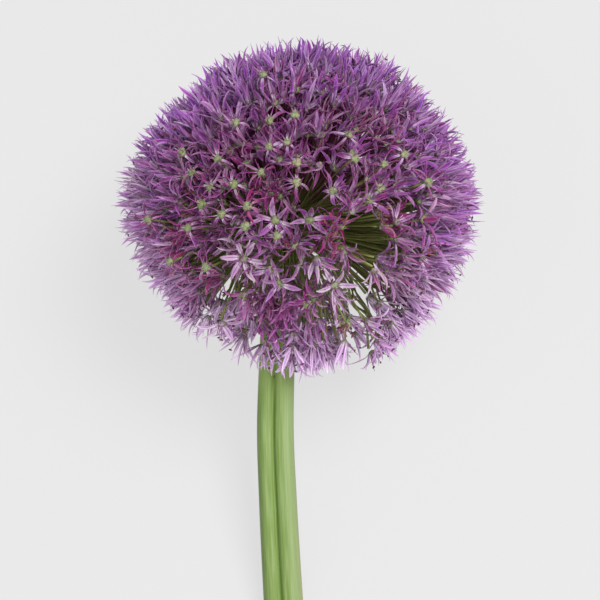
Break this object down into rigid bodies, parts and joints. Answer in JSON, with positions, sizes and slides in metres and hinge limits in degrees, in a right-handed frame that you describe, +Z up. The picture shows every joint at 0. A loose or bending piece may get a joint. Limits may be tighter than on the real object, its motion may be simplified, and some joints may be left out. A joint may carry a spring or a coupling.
{
  "type": "allium flower head",
  "caption": "Cut allium flower head: a globe of small purple star florets on radiating stalks, carried by a stout grooved green stem, lying as picked.",
  "frame": {"origin": "on the surface the flower lies on, in the middle of the pressed floret that the globe rests on", "axes": "+Z up from the surface, +Y along the lying flower from the cut end of the stem towards the top of the globe, +X to its right seen from above with the stem towards the viewer"},
  "size_m": [0.1812, 0.2929, 0.175],
  "materials": {
    "scape": "smooth waxy green skin with fine lengthwise ribs",
    "umbel": "soft matte purple petals with paler edges, green ovaries and olive stalks"
  },
  "bodies": {
    "root": {"scape": "scape", "umbel": "umbel"}
  },
  "joints": []
}
